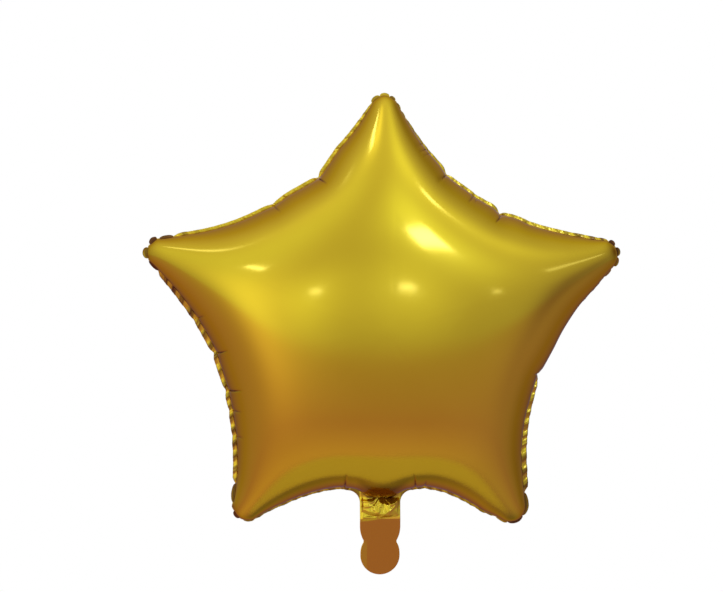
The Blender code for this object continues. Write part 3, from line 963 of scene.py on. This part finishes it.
def neck_mesh():
    """The filling neck: two films that part in the crumpled top and lie together in the flat tab."""
    x, z, half = neck_grid()
    inward = half * np.clip(1 - np.abs(x) / np.maximum(half, TINY), 0, 1)
    border = np.clip(inward / FILM_BORDER, 0, 1)
    rim = FILM_GAP * np.sqrt(border * (2 - border))
    flat_line = FLAT_SLOPE * np.sin(FLAT_BEND * x / NECK_WIDTH) - FLAT_DROP
    mouth = np.clip((NECK_WIDTH / 2 - np.abs(x)) / MOUTH_BORDER, 0, 1)
    parted = np.clip((z - flat_line) / CRUMPLE_FADE, 0, 1) * mouth
    # Painted shade under the seam and in the fillets, and a painted dark reflection in a patch beside the
    # middle.
    shade = np.exp(-np.clip(throat_height(x) - z, 0, None) / SEAM_SHADE) * mouth
    shade += FILLET_PAINTED_SHADE * np.clip((np.abs(x) - NECK_WIDTH / 2 + FILLET_MARGIN) / FILLET_FADE, 0, 1)
    films, folds = [], []
    for side, corners, small in ((-1, FRONT_CORNERS, FRONT_FOLDS), (1, BACK_CORNERS, BACK_FOLDS)):
        crumple = soften(facets_over(corners, x, z) + folds_over(small, x, z), CRUMPLE_SOFTENING)
        puff = np.maximum(crumple + fan_of_folds(x, z), 0) * parted
        films.append(np.stack([x, side * (rim + puff) - neck_lean(z), z], axis=2).reshape(-1, 3))
        beside = (x + side * PATCH_PLACE[0]) / PATCH_SIZE[0]
        above = (z - PATCH_PLACE[1]) / PATCH_SIZE[1]
        patch = PATCH_PAINTED_REFLECTION * np.exp(-(beside**4) - above**4)
        folds.append(np.clip(shade + patch, 0, 1).ravel())
    pressed = np.tile(pressed_share(x, z, inward, flat_line).ravel(), 2)
    return np.concatenate(films), sheet_faces(*x.shape), np.concatenate(folds), pressed


def add_object(name, data):
    """A new object that shows this data in the scene."""
    item = bpy.data.objects.new(name, data)
    bpy.context.scene.collection.objects.link(item)
    return item


def put_mesh(name, points, faces, painted_shade=None, pressed=None):
    """A smooth-shaded mesh object of these points and triangles.

    Two shares can go with each point: how much painted shade it carries, and how far it is pressed flat.
    """
    mesh = bpy.data.meshes.new(name)
    mesh.vertices.add(len(points))
    mesh.vertices.foreach_set("co", points.astype(np.float32).ravel())
    mesh.loops.add(len(faces) * 3)
    mesh.loops.foreach_set("vertex_index", faces.astype(np.int32).ravel())
    mesh.polygons.add(len(faces))
    mesh.polygons.foreach_set("loop_start", np.arange(0, len(faces) * 3, 3, dtype=np.int32))
    mesh.update(calc_edges=True)
    mesh.validate()
    mesh.shade_smooth()
    for share, values in (("painted_shade", painted_shade), ("pressed", pressed)):
        if values is not None:
            mesh.attributes.new(share, "FLOAT", "POINT").data.foreach_set("value", values.astype(np.float32))
    return add_object(name, mesh)


def add_node(tree, kind, inputs, **settings):
    """A new node with these settings. An input takes a value, or a link from another node's output."""
    node = tree.nodes.new(kind)
    node.location = (NODE_STEP * len(tree.nodes), NODE_STEP * (len(tree.nodes) % 2))
    for name, setting in settings.items():
        setattr(node, name, setting)
    for name, value in inputs.items():
        if isinstance(value, bpy.types.NodeSocket):
            tree.links.new(value, node.inputs[name])
        else:
            node.inputs[name].default_value = value
    return node


def gold_foil(name, roughness, coat, wave_scale, wave_height):
    """Gold-lacquered film: satin metal whose lacquer and gloss vary a little, with faint waves and painted
    shade.
    """
    material = bpy.data.materials.new(name)
    material.use_nodes = True
    tree = material.node_tree
    shader = tree.nodes["Principled BSDF"]
    shader.inputs["Metallic"].default_value = 1.0
    shader.inputs["Specular Tint"].default_value = (*EDGE_TINT, 1)
    shader.inputs["Coat Weight"].default_value = coat
    shader.inputs["Coat Roughness"].default_value = COAT_ROUGHNESS
    place = add_node(tree, "ShaderNodeTexCoord", {}).outputs["Object"]
    pattern = {"Vector": place, "Scale": CLOUD_SCALE, "Detail": CLOUD_DETAIL}
    clouds = add_node(tree, "ShaderNodeTexNoise", pattern).outputs["Fac"]
    deeper = [tone * (1 - change) for tone, change in zip(GOLD, LACQUER_CHANGE)]
    paler = [tone * (1 + change) for tone, change in zip(GOLD, LACQUER_CHANGE)]
    mixed = {"Factor": clouds, "A": (*deeper, 1), "B": (*paler, 1)}
    colour = add_node(tree, "ShaderNodeMix", mixed, data_type="RGBA").outputs["Result"]
    # The last mix paints shade: the painted_shade share darkens the lacquer towards the painted shade colour.
    for share, tone in (("pressed", PRESSED_GOLD), ("painted_shade", PAINTED_SHADE_COLOUR)):
        amount = add_node(tree, "ShaderNodeAttribute", {}, attribute_name=share).outputs["Fac"]
        mixed = {"Factor": amount, "A": colour, "B": (*tone, 1)}
        colour = add_node(tree, "ShaderNodeMix", mixed, data_type="RGBA").outputs["Result"]
    gloss = {"Value": clouds, "To Min": roughness - GLOSS_CHANGE, "To Max": roughness + GLOSS_CHANGE}
    satin = add_node(tree, "ShaderNodeMapRange", gloss)
    pattern = {"Vector": place, "Scale": wave_scale, "Detail": WAVE_DETAIL}
    waves = add_node(tree, "ShaderNodeTexNoise", pattern).outputs["Fac"]
    bump = add_node(tree, "ShaderNodeBump", {"Height": waves, "Strength": 1.0, "Distance": wave_height})
    tree.links.new(colour, shader.inputs["Base Color"])
    tree.links.new(satin.outputs["Result"], shader.inputs["Roughness"])
    tree.links.new(bump.outputs["Normal"], shader.inputs["Normal"])
    return material


def dress(piece, material):
    """Gives a piece its foil, and says what it rides on, what it replaces and what it is made of."""
    piece.data.materials.append(material)
    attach(piece, "root")
    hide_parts("foil_envelope")


def studio_direction(azimuth, elevation):
    """The unit vector from the balloon at an azimuth from straight in front, towards +X, and an elevation."""
    turn, rise = math.radians(azimuth), math.radians(elevation)
    return Vector((math.sin(turn) * math.cos(rise), -math.cos(turn) * math.cos(rise), math.sin(rise)))


def make_camera():
    """The camera, upright, at the photograph's angle and distance."""
    camera = add_object("camera", bpy.data.cameras.new("camera"))
    camera.data.lens = LENS_LENGTH
    camera.data.sensor_width = SENSOR_WIDTH
    azimuth, elevation = CAMERA_DIRECTION
    aim = Vector((CENTRE_OFFSET + CAMERA_AIM[0], 0, CENTRE_HEIGHT + CAMERA_AIM[1]))
    camera.location = aim + CAMERA_DISTANCE * studio_direction(azimuth, elevation)
    camera.rotation_euler = (math.radians(90 - elevation), 0, math.radians(azimuth))
    bpy.context.scene.camera = camera


def make_studio():
    """The room round the balloon: tones by height, times 1 plus soft zones, each a bell about a direction.

    A zone falls as exp((cosine of the angle from it - 1) / spread squared). Camera rays see plain white, and
    metal sees that white where the backdrop stands, straight behind the balloon.
    """
    world = bpy.data.worlds.new("studio")
    bpy.context.scene.world = world
    world.use_nodes = True
    tree = world.node_tree
    tree.nodes.clear()

    def numbers(operation, *values):
        return add_node(tree, "ShaderNodeMath", dict(enumerate(values)), operation=operation).outputs[0]

    def vectors(operation, *values):
        return add_node(tree, "ShaderNodeVectorMath", dict(enumerate(values)), operation=operation)

    def bell(azimuth, elevation, spread):
        toward = vectors("DOT_PRODUCT", way, studio_direction(azimuth, elevation)).outputs["Value"]
        fall = numbers("DIVIDE", numbers("SUBTRACT", toward, 1), math.radians(spread) ** 2)
        return numbers("EXPONENT", fall)

    way = add_node(tree, "ShaderNodeTexCoord", {}).outputs["Generated"]
    rise = numbers("ARCSINE", add_node(tree, "ShaderNodeSeparateXYZ", {0: way}).outputs["Z"])
    height = numbers("ADD", numbers("DIVIDE", rise, math.pi), 0.5)
    tones = add_node(tree, "ShaderNodeValToRGB", {"Fac": height})
    stops = tones.color_ramp.elements
    for index, (elevation, colour) in enumerate(ROOM_TONES):
        stop = stops[index] if index < 2 else stops.new(0.5)
        stop.position = elevation / 180 + 0.5
        stop.color = (*colour, 1)
    level = (1, 1, 1)
    for _, azimuth, elevation, spread, amount in ROOM_ZONES:
        level = vectors("MULTIPLY_ADD", bell(azimuth, elevation, spread), amount, level).outputs[0]
    level = vectors("MAXIMUM", level, (DARKEST_ROOM, DARKEST_ROOM, DARKEST_ROOM)).outputs[0]
    lit = vectors("MULTIPLY", tones.outputs["Color"], level).outputs[0]
    room = add_node(tree, "ShaderNodeBackground", {"Color": lit}).outputs[0]
    white = add_node(tree, "ShaderNodeBackground", {"Color": (1, 1, 1, 1)}).outputs[0]
    rays = add_node(tree, "ShaderNodeLightPath", {}).outputs
    reflected = numbers("MAXIMUM", rays["Is Glossy Ray"], rays["Is Transmission Ray"])
    backdrop = numbers("MULTIPLY", reflected, bell(180, 0, BACKDROP_SPREAD))
    shown = numbers("MAXIMUM", rays["Is Camera Ray"], backdrop)
    mix = add_node(tree, "ShaderNodeMixShader", {0: shown, 1: room, 2: white}).outputs[0]
    add_node(tree, "ShaderNodeOutputWorld", {"Surface": mix})


def make_lamp(name, azimuth, elevation, width, height, tilt, brightness):
    """A soft box seen from the balloon in that direction, with its size and tilt in degrees."""
    away = studio_direction(azimuth, elevation)
    level = Vector((0, 0, 1)).cross(away).normalized()
    upright = away.cross(level)
    side = math.cos(math.radians(tilt)) * level + math.sin(math.radians(tilt)) * upright
    lamp = bpy.data.lights.new(name, "AREA")
    lamp.shape = "RECTANGLE"
    lamp.size = 2 * LAMP_DISTANCE * math.tan(math.radians(width / 2))
    lamp.size_y = 2 * LAMP_DISTANCE * math.tan(math.radians(height / 2))
    lamp.color = LAMP_COLOUR
    lamp.energy = LAMP_POWER * lamp.size * lamp.size_y * brightness
    holder = add_object(name, lamp)
    turn = Matrix((side, away.cross(side), away)).transposed().to_4x4()
    turn.translation = Vector((CENTRE_OFFSET, 0, CENTRE_HEIGHT)) + LAMP_DISTANCE * away
    holder.matrix_world = turn
    holder.visible_camera = False


def fading_rim(tree, stretch, shift, radius, fade):
    """A share that rises from 0 to 1 between two shares of a radius, on a stretched and shifted plane."""
    place = add_node(tree, "ShaderNodeTexCoord", {}).outputs["Object"]
    flat = add_node(tree, "ShaderNodeVectorMath", {0: place, 1: stretch, 2: shift}, operation="MULTIPLY_ADD")
    away = add_node(tree, "ShaderNodeVectorMath", {0: flat.outputs[0]}, operation="LENGTH")
    ends = {"Value": away.outputs["Value"], "From Min": radius * fade[0], "From Max": radius * fade[1]}
    return add_node(tree, "ShaderNodeMapRange", ends, interpolation_type="SMOOTHERSTEP").outputs["Result"]


def make_floor():
    """A pale round floor under the balloon that fades out into the white background at its edge.

    The foil mirrors only its front part, because the photo's lower edges mirror something dark.
    """
    turns = np.linspace(0, 2 * math.pi, FLOOR_TURNS, endpoint=False)
    radii = np.linspace(0, FLOOR_RADIUS, FLOOR_RINGS + 1)[1:]
    x = np.concatenate([[0], (radii[:, None] * np.cos(turns)).ravel()])
    y = np.concatenate([[0], (radii[:, None] * np.sin(turns)).ravel()])
    points = np.stack([x, y, np.full(len(x), -FLOOR_DROP)], axis=1)
    rings = 1 + np.arange(FLOOR_RINGS * FLOOR_TURNS).reshape(FLOOR_RINGS, FLOOR_TURNS)
    faces = [band(outer, inner) for outer, inner in zip(rings[1:], rings[:-1])]
    middle = np.stack([np.zeros(FLOOR_TURNS, int), rings[0], np.roll(rings[0], -1)], axis=1)
    floor = put_mesh("floor", points, np.concatenate([middle] + faces))
    material = bpy.data.materials.new("pale_floor")
    material.use_nodes = True
    tree = material.node_tree
    tree.nodes.clear()
    whole = fading_rim(tree, (1, 1, 0), (0, 0, 0), FLOOR_RADIUS, FLOOR_FADE)
    front = fading_rim(tree, (FRONT_SQUEEZE, 1, 0), (0, FRONT_MIDDLE, 0), FRONT_RADIUS, FRONT_FADE)
    seen = add_node(tree, "ShaderNodeLightPath", {}).outputs["Is Camera Ray"]
    fade = add_node(tree, "ShaderNodeMix", {"Factor": seen, "A": front, "B": whole}).outputs["Result"]
    paint = add_node(tree, "ShaderNodeBsdfDiffuse", {"Color": (*FLOOR_COLOUR, 1)}).outputs[0]
    white = add_node(tree, "ShaderNodeEmission", {}).outputs[0]
    paleness = add_node(tree, "ShaderNodeMath", {0: seen, 1: FLOOR_PALENESS}, operation="MULTIPLY").outputs[0]
    pale = add_node(tree, "ShaderNodeMixShader", {0: paleness, 1: paint, 2: white}).outputs[0]
    clear = add_node(tree, "ShaderNodeBsdfTransparent", {}).outputs[0]
    mix = add_node(tree, "ShaderNodeMixShader", {0: fade, 1: pale, 2: clear}).outputs[0]
    add_node(tree, "ShaderNodeOutputMaterial", {"Surface": mix})
    floor.data.materials.append(material)


edge_foil = gold_foil(*EDGE_FOIL)
dress(put_mesh("foil_skin", *skin_mesh()), gold_foil(*SKIN_FOIL))
dress(put_mesh("seal_strip", *strip_mesh()), edge_foil)
dress(put_mesh("filling_neck", *neck_mesh()), edge_foil)
make_camera()
make_studio()
for soft_box in SOFT_BOXES:
    make_lamp(*soft_box)
make_floor()
bpy.context.scene.view_settings.view_transform = "Standard"
